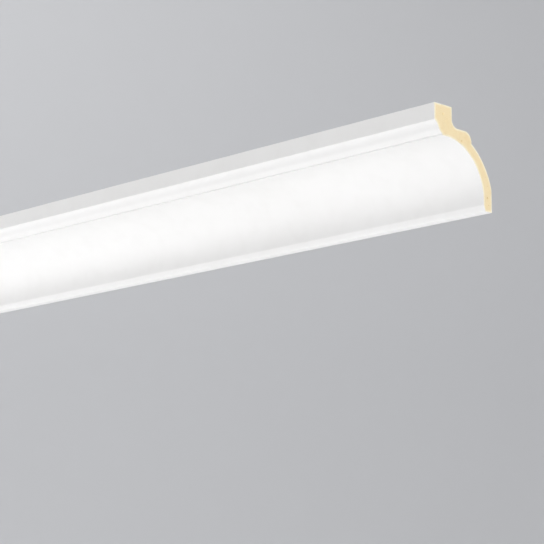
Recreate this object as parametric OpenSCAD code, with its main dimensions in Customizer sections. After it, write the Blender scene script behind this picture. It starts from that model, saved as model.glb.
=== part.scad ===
// Crown moulding length with a cove face.
// One extruded length of rigid foam moulding, hollow behind, cut square at both ends.
// It stands off the wall and hangs from the ceiling line: the wall plane is Y = 0,
// the room is on the -Y side, +X runs along the wall and +Z points up.
// The origin is on the wall face, at mid length, on the line where it is pinned.

/* [Overall] */
// Length between the two square cuts
length = 1000; // [300:10:2400]
// Drop down the wall, from the ceiling face to the bottom edge
drop = 96; // [78:0.5:140]
// Projection along the ceiling, from the wall face to the fascia
projection = 85; // [70:0.5:130]

/* [Fascia and ogee] */
// Height of the upright fascia
fascia_h = 17; // [8:0.5:24]
// Run of the ogee under the fascia, towards the wall
ogee_run = 11; // [6:0.5:16]
// Fall of the ogee
ogee_fall = 12.2; // [6:0.1:16]
// Angle that each of the two ogee arcs turns through
ogee_turn = 42; // [10:1:60]
// Height of the small upright fillet between the ogee and the cove
fillet_h = 1.6; // [1:0.1:5]

/* [Cove and foot] */
// Least width of the flat soffit between the fillet and the cove
soffit_w = 7.5; // [1:0.5:20]
// Thickness of the foot where the cove meets it
foot_t = 12; // [8:0.5:15]
// Least height of the upright stretch between the lip and the cove
foot_flat = 2.5; // [0.5:0.5:20]
// Height of the leaning lip along the bottom
lip_h = 6.5; // [3:0.5:12]
// How far the lip leans back towards the wall at its bottom
lip_lean = 2; // [0.5:0.5:5]

/* [Back] */
// Width of the flat that bears on the ceiling
ceiling_flat = 26; // [14:0.5:36]
// Thickness over the soffit, up to the shelf behind the ceiling block
soffit_t = 10.5; // [6:0.5:14]
// Depth of the shelf, from the ceiling block towards the wall
shelf_w = 29.5; // [12:0.5:34]
// Thickness of the web at the top of the cove
web_t = 10; // [8:0.5:16]
// How much thicker the web gets towards the foot
web_taper = 4; // [4:0.5:10]
// Radius in the corner between the shelf and the ceiling block
notch_r = 8; // [1:0.5:10]
// Radius on the outer corner of the shelf
heel_r = 10; // [1:0.5:10]
// Height of the pinning line above the bottom edge
pin_line = 12; // [6:0.5:20]

/* [Hidden] */

primer_white = [0.93, 0.93, 0.92];
arc_fn = 96;
over = 1; // how far a cutting shape runs past what it cuts

// Heights in the section are measured up from the bottom edge,
// and distances out from the wall face.
fascia_y = drop - fascia_h;
ogee_end_y = fascia_y - ogee_fall;
soffit_y = ogee_end_y - fillet_h;
ogee_end_x = projection - ogee_run;
foot_h = lip_h + foot_flat;
cove_r = min(ogee_end_x - soffit_w - foot_t, soffit_y - foot_h);
cove_x = foot_t + cove_r;
cove_y = soffit_y - cove_r;

ogee_mid_x = projection - ogee_run / 2;
ogee_mid_y = fascia_y - ogee_fall / 2;
ogee_chord = norm([ogee_run, ogee_fall]) / 2;
ogee_r = ogee_chord / (2 * sin(ogee_turn / 2));
ogee_slope = atan2(ogee_fall, ogee_run);

back_r = cove_r + web_t + web_taper;
back_y = cove_y - web_taper;
block_x = projection - ceiling_flat;
shelf_y = soffit_y + soffit_t;
heel_x = block_x - shelf_w;

// A box between two opposite corners
module between(low, high) {
    translate(low) square(high - low);
}

// A full disc at a point
module disc(centre, radius) {
    translate(centre) circle(r = radius, $fn = arc_fn);
}

// The square corner that a radius leaves outside its arc, with the square's corner at the origin
module corner_waste(radius) {
    difference() {
        square(radius);
        disc([radius, radius], radius);
    }
}

// Middle of an ogee arc's circle: side is 1 for the convex arc and -1 for the hollow one
function ogee_centre(chord_mid, side) =
    chord_mid + side * ogee_r * cos(ogee_turn / 2) * [-sin(ogee_slope), cos(ogee_slope)];

// The ogee: a hollow arc under the fascia that turns into a round one above the fillet
module ogee() {
    mid = [ogee_mid_x, ogee_mid_y];
    top = [projection, fascia_y];
    end = [ogee_end_x, ogee_end_y];
    between([ogee_end_x, ogee_mid_y], [ogee_mid_x, fascia_y]);
    difference() {
        between(mid, top);
        disc(ogee_centre((mid + top) / 2, -1), ogee_r);
    }
    intersection() {
        between(end, mid);
        disc(ogee_centre((mid + end) / 2, 1), ogee_r);
    }
}

// The quarter-circle cove, from the soffit down to the foot
module cove() {
    difference() {
        between([0, cove_y], [cove_x, soffit_y]);
        disc([cove_x, cove_y], cove_r);
    }
}

// The leaning lip under the foot
module lip() {
    polygon([[0, 0], [foot_t - lip_lean, 0], [foot_t, lip_h], [0, lip_h]]);
}

// Everything between the face and the corner of the room
module solid_section() {
    between([0, fascia_y], [projection, drop]);
    ogee();
    between([0, soffit_y], [ogee_end_x, fascia_y]);
    cove();
    between([0, lip_h], [foot_t, cove_y]);
    lip();
}

// The shelf behind the ceiling block, with its outer corner rounded
module shelf() {
    difference() {
        between([heel_x, back_y], [block_x, shelf_y]);
        translate([heel_x, shelf_y]) mirror([0, 1]) corner_waste(heel_r);
    }
    translate([block_x, shelf_y]) mirror([1, 0]) corner_waste(notch_r);
}

// The hollow between the web and the corner of the room
module hollow() {
    difference() {
        between([-over, back_y], [block_x, drop + over]);
        intersection() {
            disc([cove_x, back_y], back_r);
            between([-over, back_y], [block_x, shelf_y]);
        }
        shelf();
    }
}

// The whole cross-section, out from the wall and up from the bottom edge
module section() {
    difference() {
        solid_section();
        hollow();
    }
}

module crown_moulding() {
    color(primer_white)
        translate([-length / 2, 0, -pin_line])
            rotate([90, 0, 90])
                linear_extrude(height = length)
                    mirror([1, 0])
                        section();
}

crown_moulding();
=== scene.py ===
"""A length of primed foam crown moulding, cut square at both ends, in a plain studio."""
import math
import random

import bmesh
import bpy
from mathutils import Matrix, Vector
from mathutils.kdtree import KDTree


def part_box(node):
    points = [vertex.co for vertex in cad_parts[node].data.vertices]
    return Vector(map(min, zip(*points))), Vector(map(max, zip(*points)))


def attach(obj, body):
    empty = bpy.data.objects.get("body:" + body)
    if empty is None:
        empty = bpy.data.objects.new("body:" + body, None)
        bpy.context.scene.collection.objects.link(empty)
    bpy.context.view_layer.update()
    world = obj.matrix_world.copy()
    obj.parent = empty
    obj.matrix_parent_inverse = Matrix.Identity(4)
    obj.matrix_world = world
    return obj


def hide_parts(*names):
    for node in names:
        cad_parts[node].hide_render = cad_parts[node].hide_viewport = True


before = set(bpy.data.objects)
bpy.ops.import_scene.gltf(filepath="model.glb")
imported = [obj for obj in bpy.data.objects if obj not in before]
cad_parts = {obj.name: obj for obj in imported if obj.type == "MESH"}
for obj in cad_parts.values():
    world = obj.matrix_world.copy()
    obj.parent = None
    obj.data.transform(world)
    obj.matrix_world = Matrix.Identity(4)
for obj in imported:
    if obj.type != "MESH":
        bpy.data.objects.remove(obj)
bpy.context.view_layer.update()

MM = 0.001

# ---------------------------------------------------------------- sizes
# Distances "out" are measured from the wall face towards the room,
# distances "up" from the bottom edge. The overall sizes are the frame's own.
LOW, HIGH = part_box("crown_moulding")
LENGTH = HIGH.x - LOW.x
DROP = HIGH.z - LOW.z
PROJECTION = HIGH.y - LOW.y

FASCIA_H = 17 * MM
OGEE_RUN = 11 * MM
OGEE_FALL = 12.2 * MM
OGEE_TURN = math.radians(42)
FILLET_H = 1.6 * MM
SOFFIT_W = 7.5 * MM
FOOT_T = 12 * MM
FOOT_H = 9 * MM
LIP_H = 6.5 * MM
LIP_LEAN = 2 * MM
CEILING_FLAT = 26 * MM
SOFFIT_T = 10.5 * MM
SHELF_W = 29.5 * MM
WEB_T = 10 * MM
WEB_TAPER = 4 * MM
NOTCH_R = 8 * MM
HEEL_R = 10 * MM

FASCIA_UP = DROP - FASCIA_H
OGEE_OUT = PROJECTION - OGEE_RUN
OGEE_UP = FASCIA_UP - OGEE_FALL
SOFFIT_UP = OGEE_UP - FILLET_H
COVE_R = min(OGEE_OUT - SOFFIT_W - FOOT_T, SOFFIT_UP - FOOT_H)
COVE_OUT = FOOT_T + COVE_R
COVE_UP = SOFFIT_UP - COVE_R
BACK_R = COVE_R + WEB_T + WEB_TAPER
BACK_UP = COVE_UP - WEB_TAPER
WALL_FLAT = BACK_UP + math.sqrt(BACK_R**2 - COVE_OUT**2)
BLOCK_OUT = PROJECTION - CEILING_FLAT
SHELF_UP = SOFFIT_UP + SOFFIT_T
HEEL_OUT = BLOCK_OUT - SHELF_W
HEEL_UP = BACK_UP + math.sqrt(BACK_R**2 - (COVE_OUT - HEEL_OUT) ** 2)

# Radii that the mould and the primer leave on an edge
MOULDED_ARRIS = 0.45 * MM
LIP_ARRIS = 1.5 * MM
FILLET_ARRIS = 1.0 * MM
COAT_T = 0.3 * MM  # primer and skin, as the saw shows them round the cut
SAW_BREAK = 0.12 * MM  # how far the coat is broken back at the cut

AXIS_X = Vector((1, 0, 0))


# ---------------------------------------------------------------- camera
AZIMUTH = math.radians(45.02)  # round from straight in front, towards the right end
ELEVATION = math.radians(-11.35)
DISTANCE = 2.0873
AIM_FROM_END = 306.5 * MM  # the aim is on the wall, in from the right end
AIM_BELOW = 15.7 * MM  # and under the bottom edge
LENS = 126.2
FILM_W = 36


def studio_camera():
    """Looks up at the face from below, towards the corner that the moulding trims."""
    aim = Vector((HIGH.x - AIM_FROM_END, HIGH.y, LOW.z - AIM_BELOW))
    back = Vector((
        math.sin(AZIMUTH) * math.cos(ELEVATION),
        -math.cos(AZIMUTH) * math.cos(ELEVATION),
        math.sin(ELEVATION),
    ))
    data = bpy.data.cameras.new("studio_camera")
    data.lens = LENS
    data.sensor_width = FILM_W
    data.clip_start = 0.05
    data.clip_end = 60
    camera = bpy.data.objects.new("studio_camera", data)
    camera.location = aim + back * DISTANCE
    camera.rotation_mode = "QUATERNION"
    camera.rotation_quaternion = (-back).to_track_quat("-Z", "Y")
    bpy.context.scene.collection.objects.link(camera)
    bpy.context.scene.camera = camera


# ---------------------------------------------------------------- the section
class Outline:
    """Draws a closed outline in a plane across X, one stroke after another."""

    def __init__(self, bm, x, out, up):
        self.bm, self.x = bm, x
        self.first = self.last = bm.verts.new(self.place(out, up))
        self.arrises = []

    def place(self, out, up):
        return Vector((self.x, HIGH.y - out, LOW.z + up))

    def line(self, out, up, arris=None):
        """A straight stroke, whose end gets a rounded arris of that radius."""
        grown = bmesh.ops.extrude_vert_indiv(self.bm, verts=[self.last])
        self.last = grown["verts"][0]
        self.last.co = self.place(out, up)
        self.mark(arris)

    def arc(self, centre, out, up, steps, arris=None):
        """An arc about centre to a point on the same circle, the short way round."""
        middle, end = self.place(*centre), self.place(out, up)
        start = self.last.co - middle
        turn = math.atan2(AXIS_X.dot(start.cross(end - middle)), start.dot(end - middle))
        spun = bmesh.ops.spin(
            self.bm, geom=[self.last], cent=middle, axis=AXIS_X, angle=turn, steps=steps)
        self.last = next(g for g in spun["geom_last"] if isinstance(g, bmesh.types.BMVert))
        self.mark(arris)

    def mark(self, arris):
        if arris:
            self.arrises.append((self.last, arris))

    def close(self, arris=None):
        """Joins the last point to the first and fills the outline with one face."""
        self.bm.edges.new((self.last, self.first))
        if arris:
            self.arrises.append((self.first, arris))
        bmesh.ops.edgeloop_fill(self.bm, edges=self.bm.edges[:])
        for radius in sorted({r for _, r in self.arrises}):
            bmesh.ops.bevel(
                self.bm, geom=[v for v, r in self.arrises if r == radius and v.is_valid],
                offset=radius, affect="VERTICES", segments=4, profile=0.5, material=-1)


def draw_section(bm, x):
    """The moulding's outline: down the face, under the foot and back up behind."""
    pen = Outline(bm, x, PROJECTION, DROP)
    pen.line(PROJECTION, FASCIA_UP, MOULDED_ARRIS)

    top = Vector((PROJECTION, FASCIA_UP))
    end = Vector((OGEE_OUT, OGEE_UP))
    chord = end - top
    radius = chord.length / 4 / math.sin(OGEE_TURN / 2)
    inwards = Vector((chord.y, -chord.x)).normalized() * radius * math.cos(OGEE_TURN / 2)
    middle = (top + end) / 2
    pen.arc((top + middle) / 2 - inwards, *middle, steps=8)
    pen.arc((middle + end) / 2 + inwards, *end, steps=8)
    pen.line(OGEE_OUT, SOFFIT_UP, FILLET_ARRIS)
    pen.line(COVE_OUT, SOFFIT_UP)
    pen.arc((COVE_OUT, COVE_UP), FOOT_T, COVE_UP, steps=72)
    pen.line(FOOT_T, LIP_H, MOULDED_ARRIS)
    pen.line(FOOT_T - LIP_LEAN, 0, LIP_ARRIS)
    pen.line(0, 0, MOULDED_ARRIS)

    pen.line(0, WALL_FLAT, MOULDED_ARRIS)
    pen.arc((COVE_OUT, BACK_UP), HEEL_OUT, HEEL_UP, steps=40)
    pen.line(HEEL_OUT, SHELF_UP - HEEL_R)
    pen.arc((HEEL_OUT + HEEL_R, SHELF_UP - HEEL_R), HEEL_OUT + HEEL_R, SHELF_UP, steps=12)
    pen.line(BLOCK_OUT - NOTCH_R, SHELF_UP)
    pen.arc((BLOCK_OUT - NOTCH_R, SHELF_UP + NOTCH_R), BLOCK_OUT, SHELF_UP + NOTCH_R, steps=12)
    pen.line(BLOCK_OUT, DROP, MOULDED_ARRIS)
    pen.close(MOULDED_ARRIS)


# ---------------------------------------------------------------- the piece
PRIMER, CUT, SKIN = range(3)  # material places on the piece
HARD_ANGLE = math.radians(24)  # faces that meet more sharply than this keep a hard edge

SAW_GRID = 0.3 * MM  # cell of the mesh on a sawn end
SAW_R = 127 * MM  # radius of the blade that cut the ends
BLADE_AT = (SAW_R * 0.35, -SAW_R * 0.8)  # middle of the blade, out and up
SAW_PITCH = 2.1 * MM
SAW_DEPTH = 0.03 * MM
RIM_T = 3 * MM  # depth of the denser foam under the skin
BLOW_HOLES = ((72.2, 87), (44.5, 64.7), (6.6, 14))  # on the right end, out and up, in mm
BLOW_HOLE_R = (1.0, 1.35)  # least and most, in mm
PITS = 46  # open bubbles in one cut, with the blow holes
PIT_R = (0.25, 0.6)  # least and most, in mm
PIT_REACH = 18 * MM  # how far apart the two points of the cut may be that a pit lies between
PIT_DEPTH = 0.8  # depth of an open bubble against its radius


def out_up(co):
    """A point's place in the section: out from the wall and up from the bottom edge."""
    return Vector((HIGH.y - co.y, co.z - LOW.z))


def slice_faces(bm, faces, axis, pitch):
    """Cuts flat faces into strips of that pitch across an axis, and returns them all."""
    normal = Vector([float(i == axis) for i in range(3)])
    rest, done = list(faces), []
    low = min(v.co[axis] for f in rest for v in f.verts)
    high = max(v.co[axis] for f in rest for v in f.verts)
    for i in range(1, math.ceil((high - low) / pitch)):
        level = low + i * pitch
        geom = dict.fromkeys(g for f in rest for g in (f, *f.edges, *f.verts))
        cut = bmesh.ops.bisect_plane(
            bm, geom=list(geom), plane_co=normal * level, plane_no=normal, dist=1e-7)
        pieces = [g for g in cut["geom"] if isinstance(g, bmesh.types.BMFace)]
        rest = [f for f in pieces if f.calc_center_median()[axis] > level]
        done += [f for f in pieces if f.calc_center_median()[axis] <= level]
    return done + rest


def pits(rng, spots, blow_holes):
    """Places and radii of the open bubbles in one cut: the blow holes, then small ones."""
    found = [(Vector(place) * MM, rng.uniform(*BLOW_HOLE_R) * MM) for place in blow_holes]
    while len(found) < PITS:
        a, b = rng.choice(spots), rng.choice(spots)
        if (a - b).length < PIT_REACH:
            found.append((a.lerp(b, rng.random()), rng.uniform(*PIT_R) * MM))
    return found


def saw_end(bm, face, outwards, rng, rim, pit):
    """Gives one cut end its saw rings, open bubbles and depth from the skin."""
    cells = slice_faces(bm, slice_faces(bm, [face], 2, SAW_GRID), 1, SAW_GRID)
    inside = set(cells)
    verts = sorted({v for f in cells for v in f.verts}, key=lambda v: v.co[:])
    edge = [v for v in verts if any(f not in inside for f in v.link_faces)]
    tree = KDTree(len(edge))
    for i, v in enumerate(edge):
        tree.insert(v.co, i)
    tree.balance()
    blow_holes = BLOW_HOLES if outwards > 0 else ()
    bubbles = pits(rng, [out_up(v.co) for v in verts], blow_holes)
    blade = Vector(BLADE_AT)
    for v in verts:
        depth = tree.find(v.co)[2]
        v[rim] = min(depth / RIM_T, 1)
        if not depth:
            continue
        place = out_up(v.co)
        ring = (place - blade).length / SAW_PITCH
        sink = SAW_DEPTH * (1 + math.sin(math.tau * ring)) / 2
        for middle, radius in bubbles:
            gap = (place - middle).length / radius
            if gap < 1:
                hollow = math.sqrt(1 - gap * gap)
                sink = max(sink, PIT_DEPTH * radius * hollow)
                # the pit layer keeps how deep the hollow is here, for the painted shade in it
                v[pit] = max(v[pit], hollow)
        v.co.x -= outwards * sink
    return cells


def moulding_length():
    """The whole moulding: one solid, primed on its face, bare foam where it was sawn."""
    bm = bmesh.new()
    rim = bm.verts.layers.float.new("rim")
    pit = bm.verts.layers.float.new("pit")
    draw_section(bm, LOW.x + SAW_BREAK)
    grown = bmesh.ops.extrude_face_region(bm, geom=bm.faces[:])
    moved = [g for g in grown["geom"] if isinstance(g, bmesh.types.BMVert)]
    bmesh.ops.translate(bm, verts=moved, vec=AXIS_X * (LENGTH - 2 * SAW_BREAK))
    bmesh.ops.recalc_face_normals(bm, faces=bm.faces[:])

    ends = []
    for face in bm.faces:
        if abs(face.normal.x) > 0.5:
            ends.append(face)
        else:
            face.material_index = PRIMER if face.normal.y + face.normal.z < 0 else SKIN
    rng = random.Random(41)
    for face in ends:
        outwards = math.copysign(1, face.normal.x)
        rims = bmesh.ops.inset_region(
            bm, faces=[face], thickness=COAT_T, depth=SAW_BREAK,
            use_even_offset=True, use_boundary=True)
        for strip in rims["faces"]:
            beside = [f for e in strip.edges for f in e.link_faces if abs(f.normal.x) < 0.1]
            strip.material_index = beside[0].material_index
        for cell in saw_end(bm, face, outwards, rng, rim, pit):
            cell.material_index = CUT
        bmesh.ops.triangulate(bm, faces=rims["faces"], ngon_method="BEAUTY")

    mesh = bpy.data.meshes.new("moulding_length")
    bm.to_mesh(mesh)
    bm.free()
    mesh.shade_smooth()
    mesh.set_sharp_from_angle(angle=HARD_ANGLE)
    piece = bpy.data.objects.new("moulding_length", mesh)
    bpy.context.scene.collection.objects.link(piece)
    for paint in (primer_white(), cut_foam(), foam_skin()):
        mesh.materials.append(paint)
    even = piece.modifiers.new("even_normals", "WEIGHTED_NORMAL")
    even.keep_sharp = True
    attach(piece, "root")
    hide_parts("crown_moulding")


# ---------------------------------------------------------------- finishes
class Value:
    """A socket of a finish's nodes, for use in plain arithmetic."""

    def __init__(self, paint, socket):
        self.paint, self.socket = paint, socket

    def maths(self, operation, *values):
        return self.paint.node("Math", {"operation": operation}, *values)

    def __add__(self, other):
        return self.maths("ADD", self, other)

    def __sub__(self, other):
        return self.maths("SUBTRACT", self, other)

    def __rsub__(self, other):
        return self.maths("SUBTRACT", other, self)

    def __mul__(self, other):
        return self.maths("MULTIPLY", self, other)

    def __neg__(self):
        return self * -1

    __radd__ = __add__
    __rmul__ = __mul__

    def size(self):
        return self.maths("ABSOLUTE", self)

    def most(self, other):
        return self.maths("MAXIMUM", self, other)

    def ramp(self, start, full):
        """0 at start and 1 at full, with a soft S between them, whichever is higher."""
        return self.paint.node(
            "MapRange", {"interpolation_type": "SMOOTHSTEP"},
            Value=self, From_Min=start, From_Max=full)


class Paint:
    """One finish: its nodes, and the patterns that finishes share."""

    def __init__(self, name, **constants):
        self.material = bpy.data.materials.new(name)
        self.material.use_nodes = True
        self.nodes = self.material.node_tree.nodes
        self.links = self.material.node_tree.links
        self.shader = self.nodes["Principled BSDF"]
        self.put(self.shader, constants)
        self.place = self.node("TexCoord", output="Object")

    def put(self, node, sockets):
        """Sets a node's sockets by name, to a number, a colour or a link."""
        for name, value in sockets.items():
            wanted = name.replace("_", " ")
            socket = next(s for s in node.inputs if s.enabled and s.name == wanted)
            self.join(socket, value)

    def join(self, socket, value):
        if isinstance(value, Value):
            self.links.new(value.socket, socket)
        else:
            socket.default_value = value

    def node(self, kind, settings=None, *values, output=None, **sockets):
        """Adds a node: its settings first, then its sockets in order or by name."""
        node = self.nodes.new("ShaderNode" + kind)
        for name, value in (settings or {}).items():
            setattr(node, name, value)
        enabled = [s for s in node.inputs if s.enabled]
        for socket, value in zip(enabled, values):
            self.join(socket, value)
        self.put(node, sockets)
        outputs = [s for s in node.outputs if s.enabled]
        chosen = next(s for s in outputs if output in (None, s.name))
        return Value(self, chosen)

    def wear(self, **sockets):
        """Links the finish's own sockets to what varies over the surface."""
        self.put(self.shader, sockets)

    def mix(self, amount, plain, other):
        """A colour between two, by an amount from 0 to 1."""
        return self.node("Mix", {"data_type": "RGBA"}, amount, plain, other)

    def stretched(self, x, y, z):
        """The place on the piece, with its axes stretched by those factors."""
        return self.node("VectorMath", {"operation": "MULTIPLY"}, self.place, (x, y, z))

    def noise(self, feature, detail=2, rough=0.5, place=None):
        """Soft cloudy noise from 0 to 1, whose patches are about feature metres wide."""
        return self.node(
            "TexNoise", None, Vector=place or self.place, Scale=1 / feature,
            Detail=detail, Roughness=rough)

    def cells(self, pitch, output="Distance", **settings):
        """Scattered cells: how far each point is from its cell's middle, in pitches."""
        return self.node(
            "TexVoronoi", settings, Vector=self.place, Scale=1 / pitch, output=output)

    def axis(self, name):
        """One coordinate of the place on the piece, in metres."""
        return self.node("SeparateXYZ", None, self.place, output=name)

    def near_line(self, out, up):
        """How far a point is from a line that runs along the moulding, in metres."""
        across = self.stretched(0, 1, 1)
        line = (0, HIGH.y - out, LOW.z + up)
        return self.node(
            "VectorMath", {"operation": "DISTANCE"}, across, line, output="Value")

    def relief(self, height_mm, strength=1.0):
        """Normals from a height in millimetres."""
        return self.node("Bump", None, Strength=strength, Distance=MM, Height=height_mm)


WHITE = (0.85, 0.842, 0.828, 1)
WHITE_DULL = (0.80, 0.790, 0.772, 1)
FOAM = (0.87, 0.725, 0.455, 1)
# a deeper foam tone for the mottling, also used as painted shade in pores, open bubbles and
# skin bubbles
FOAM_DEEP_AND_SHADE = (0.80, 0.62, 0.34, 1)
FOAM_PALE = (0.92, 0.845, 0.66, 1)
SKIN_TONE = (0.86, 0.765, 0.56, 1)
SKIN_DARK = (0.78, 0.665, 0.44, 1)
# the grey of rubbed arrises, also used as painted shade in the pinholes
RUBBED_AND_PIT_SHADE = (0.70, 0.69, 0.66, 1)


def primer_white():
    """Sprayed matt primer: faint orange peel, mould streaks, pinholes darkened with painted
    shade and rubbed arrises.
    """
    paint = Paint("primer_white", IOR=1.46)
    peel = paint.noise(1.3 * MM, detail=3, rough=0.6)
    streaks = paint.noise(1.8 * MM, place=paint.stretched(0.018, 1, 1))
    broad = paint.noise(150 * MM)
    cloud = paint.noise(19 * MM, detail=4)
    scatter = paint.cells(13 * MM)
    kept = paint.node("SeparateColor", None, paint.cells(13 * MM, "Color"), output="Red")
    pinhole = scatter.ramp(0.030, 0.012) * kept.ramp(0.62, 0.64)

    tone = paint.mix(broad.ramp(0.35, 0.75) * 0.35 + cloud.ramp(0.42, 0.75) * 0.3,
                     WHITE, WHITE_DULL)
    arrises = [
        paint.near_line(out, up).ramp(1.0 * MM, 0.2 * MM)
        for out, up in (
            (PROJECTION, DROP), (PROJECTION, FASCIA_UP), (FOOT_T - LIP_LEAN, 0))
    ]
    arris = arrises[0].most(arrises[1]).most(arrises[2])
    rub = arris * paint.noise(9 * MM, detail=6, rough=0.7).ramp(0.60, 0.72)
    tone = paint.mix(rub * 0.3, tone, RUBBED_AND_PIT_SHADE)
    # painted shade: the sunk pinholes darkened towards the rubbed grey
    tone = paint.mix(pinhole * 0.5, tone, RUBBED_AND_PIT_SHADE)
    torn = paint.axis("X").size().ramp(LENGTH / 2 - 0.9 * MM, LENGTH / 2 - 0.1 * MM)
    torn = (torn * 0.55 + paint.noise(1.6 * MM, detail=3) * 0.75).ramp(0.72, 0.80)
    tone = paint.mix(torn, tone, FOAM_PALE)

    paint.wear(
        Base_Color=tone,
        Roughness=cloud * 0.16 + peel * 0.06 + rub * 0.1 + 0.42,
        Normal=paint.relief(peel * 0.034 + streaks * 0.014 - pinhole * 0.12 - torn * 0.08))
    return paint.material


def cut_foam():
    """Bare sawn foam: fine open cells with painted shade in their hollows and in the open
    bubbles, denser and paler under the skin.
    """
    paint = Paint("cut_foam", IOR=1.4)
    rim = paint.node("Attribute", {"attribute_name": "rim"}, output="Fac")
    pit = paint.node("Attribute", {"attribute_name": "pit"}, output="Fac")
    fine = paint.cells(0.55 * MM)
    coarse = paint.cells(1.5 * MM)
    grain = paint.noise(0.9 * MM, detail=3, rough=0.65)
    patch = paint.noise(11 * MM, detail=3)

    tone = paint.mix(rim.ramp(0, 0.8), FOAM_PALE, FOAM)
    tone = paint.mix(patch.ramp(0.42, 0.72) * 0.45 + grain.ramp(0.5, 0.8) * 0.35,
                     tone, FOAM_DEEP_AND_SHADE)
    # painted shade: the middles of the fine cells, sunk lowest in the relief, made darker
    tone = paint.mix(fine.ramp(0.55, 0.15) * 0.25 * rim, tone, FOAM_DEEP_AND_SHADE)
    # painted shade: the open bubbles are darker the deeper their hollow
    tone = paint.mix(pit.ramp(0, 0.9) * 0.75, tone, FOAM_DEEP_AND_SHADE)
    # painted shade: the small sunk pores at the middles of the coarse cells made darker
    tone = paint.mix(coarse.ramp(0.16, 0.08) * rim * 0.7, tone, FOAM_DEEP_AND_SHADE)

    paint.wear(
        Base_Color=tone,
        Roughness=grain * 0.1 + 0.8,
        Normal=paint.relief(fine * 0.10 + grain * 0.10 + coarse.ramp(0.08, 0.2) * 0.15))
    return paint.material


def foam_skin():
    """The moulded skin behind: cream, a little glossy, with overspray at the edges and bubbles
    darkened with painted shade.
    """
    paint = Paint("foam_skin", IOR=1.46)
    flow = paint.noise(42 * MM, detail=5, rough=0.6, place=paint.stretched(0.45, 1, 1))
    mottle = paint.noise(7 * MM, detail=4, rough=0.6)
    fine = paint.noise(0.9 * MM, detail=2)
    bubbles = paint.cells(6 * MM)
    kept = paint.node("SeparateColor", None, paint.cells(6 * MM, "Color"), output="Red")
    bubble = bubbles.ramp(0.13, 0.05) * kept.ramp(0.70, 0.72)

    over_top = (-paint.axis("Y")).ramp(PROJECTION - 20 * MM, PROJECTION - 3 * MM)
    over_foot = (-paint.axis("Z")).ramp(-LOW.z - 13 * MM, -LOW.z - 1 * MM)
    spatter = paint.noise(2.2 * MM, detail=5, rough=0.75)
    drift = paint.noise(38 * MM, detail=4, rough=0.65, place=paint.stretched(1, 0.3, 0.3))
    spray = (over_top.most(over_foot) * 0.9 + spatter * 0.45 + drift * 0.7).ramp(0.74, 1.2)

    tone = paint.mix(flow.ramp(0.4, 0.75) * 0.6 + mottle.ramp(0.5, 0.8) * 0.4,
                     SKIN_TONE, SKIN_DARK)
    # painted shade: the sunk bubbles in the skin made darker
    tone = paint.mix(bubble * 0.6, tone, FOAM_DEEP_AND_SHADE)
    tone = paint.mix(spray, tone, WHITE)

    paint.wear(
        Base_Color=tone,
        Roughness=flow * 0.2 + mottle * 0.12 + spray * 0.12 + 0.26,
        Normal=paint.relief(flow * 0.5 + mottle * 0.10 + fine * 0.02 - bubble * 0.25))
    return paint.material


# ---------------------------------------------------------------- studio
FLOOR_UP = -1.4
SWEEP_AT = 8.0
SWEEP_R = 3.0
WALL_UP = 7.0


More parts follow.
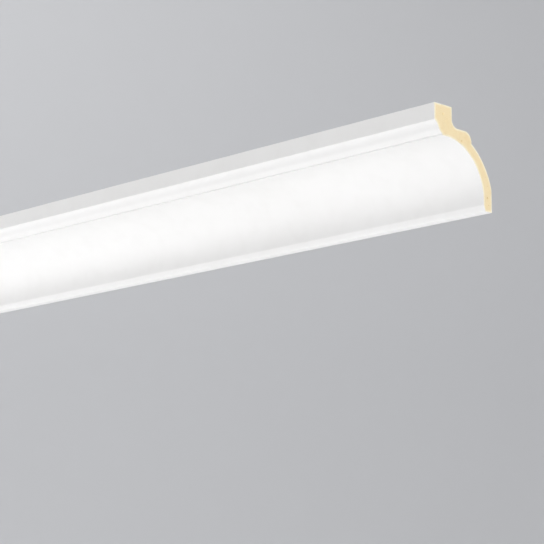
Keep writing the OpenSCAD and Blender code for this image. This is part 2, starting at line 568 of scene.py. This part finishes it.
def studio_floor():
    """A round pale floor that sweeps up into a wall all the way round."""
    bm = bmesh.new()
    middle = bm.verts.new((0, 0, FLOOR_UP))
    rim = bmesh.ops.extrude_vert_indiv(bm, verts=[middle])["verts"][0]
    rim.co.x = SWEEP_AT
    spun = bmesh.ops.spin(
        bm, geom=[rim], cent=(SWEEP_AT, 0, FLOOR_UP + SWEEP_R), axis=(0, 1, 0),
        angle=-math.pi / 2, steps=16)
    top = next(g for g in spun["geom_last"] if isinstance(g, bmesh.types.BMVert))
    bmesh.ops.extrude_vert_indiv(bm, verts=[top])["verts"][0].co.z = WALL_UP
    bmesh.ops.spin(
        bm, geom=bm.verts[:] + bm.edges[:], cent=(0, 0, 0), axis=(0, 0, 1),
        angle=math.tau, steps=96, use_merge=True)
    bmesh.ops.remove_doubles(bm, verts=bm.verts[:], dist=1e-5)
    bmesh.ops.recalc_face_normals(bm, faces=bm.faces[:])
    if sum(f.normal.z for f in bm.faces) < 0:
        bmesh.ops.reverse_faces(bm, faces=bm.faces[:])
    mesh = bpy.data.meshes.new("studio_floor")
    bm.to_mesh(mesh)
    bm.free()
    mesh.shade_smooth()
    floor = bpy.data.objects.new("studio_floor", mesh)
    bpy.context.scene.collection.objects.link(floor)
    paint = Paint("studio_floor", Base_Color=(0.62, 0.625, 0.64, 1), Roughness=0.9)
    mesh.materials.append(paint.material)


def soft_light(name, place, aim, size, watts, tone=(1, 1, 1)):
    """A square soft box that isn't seen itself."""
    data = bpy.data.lights.new(name, "AREA")
    data.shape = "SQUARE"
    data.size = size
    data.energy = watts
    data.color = tone
    light = bpy.data.objects.new(name, data)
    light.location = place
    light.rotation_mode = "QUATERNION"
    light.rotation_quaternion = (Vector(aim) - Vector(place)).to_track_quat("-Z", "Y")
    light.visible_camera = False
    bpy.context.scene.collection.objects.link(light)


def studio_lights():
    """Soft boxes: the strongest from below and the right, as the face looks down."""
    aim = Vector((HIGH.x / 2, HIGH.y - PROJECTION / 2, (LOW.z + HIGH.z) / 2))
    soft_light("below", (0.3, -0.5, -1.2), aim, 1.6, 9.6)
    soft_light("low_left", (-1.6, -1.3, -0.9), aim, 1.4, 20.8)
    soft_light("right", (2.4, -0.5, 0.2), aim, 1.4, 23.2)
    soft_light("back", (-0.4, 2.6, 0.7), aim, 1.8, 16)
    soft_light("room", (0, 0, 5.5), (0, 0, 0), 7.0, 351)
    for quarter, watts in enumerate((334, 190, 190, 190)):
        turn = Matrix.Rotation(quarter * math.pi / 2, 3, "Z")
        lamp, wall = turn @ Vector((-4.5, 1.0, 6.2)), turn @ Vector((-9.5, 6.0, 3.5))
        soft_light(f"wall_wash_{quarter + 1}", lamp, wall, 3.0, watts)
    world = bpy.data.worlds.new("studio_air")
    world.use_nodes = True
    world.node_tree.nodes["Background"].inputs["Color"].default_value = (1, 1, 1, 1)
    world.node_tree.nodes["Background"].inputs["Strength"].default_value = 0.16
    bpy.context.scene.world = world
    bpy.context.scene.view_settings.view_transform = "Standard"


# ---------------------------------------------------------------- the scene
studio_camera()
moulding_length()
studio_floor()
studio_lights()
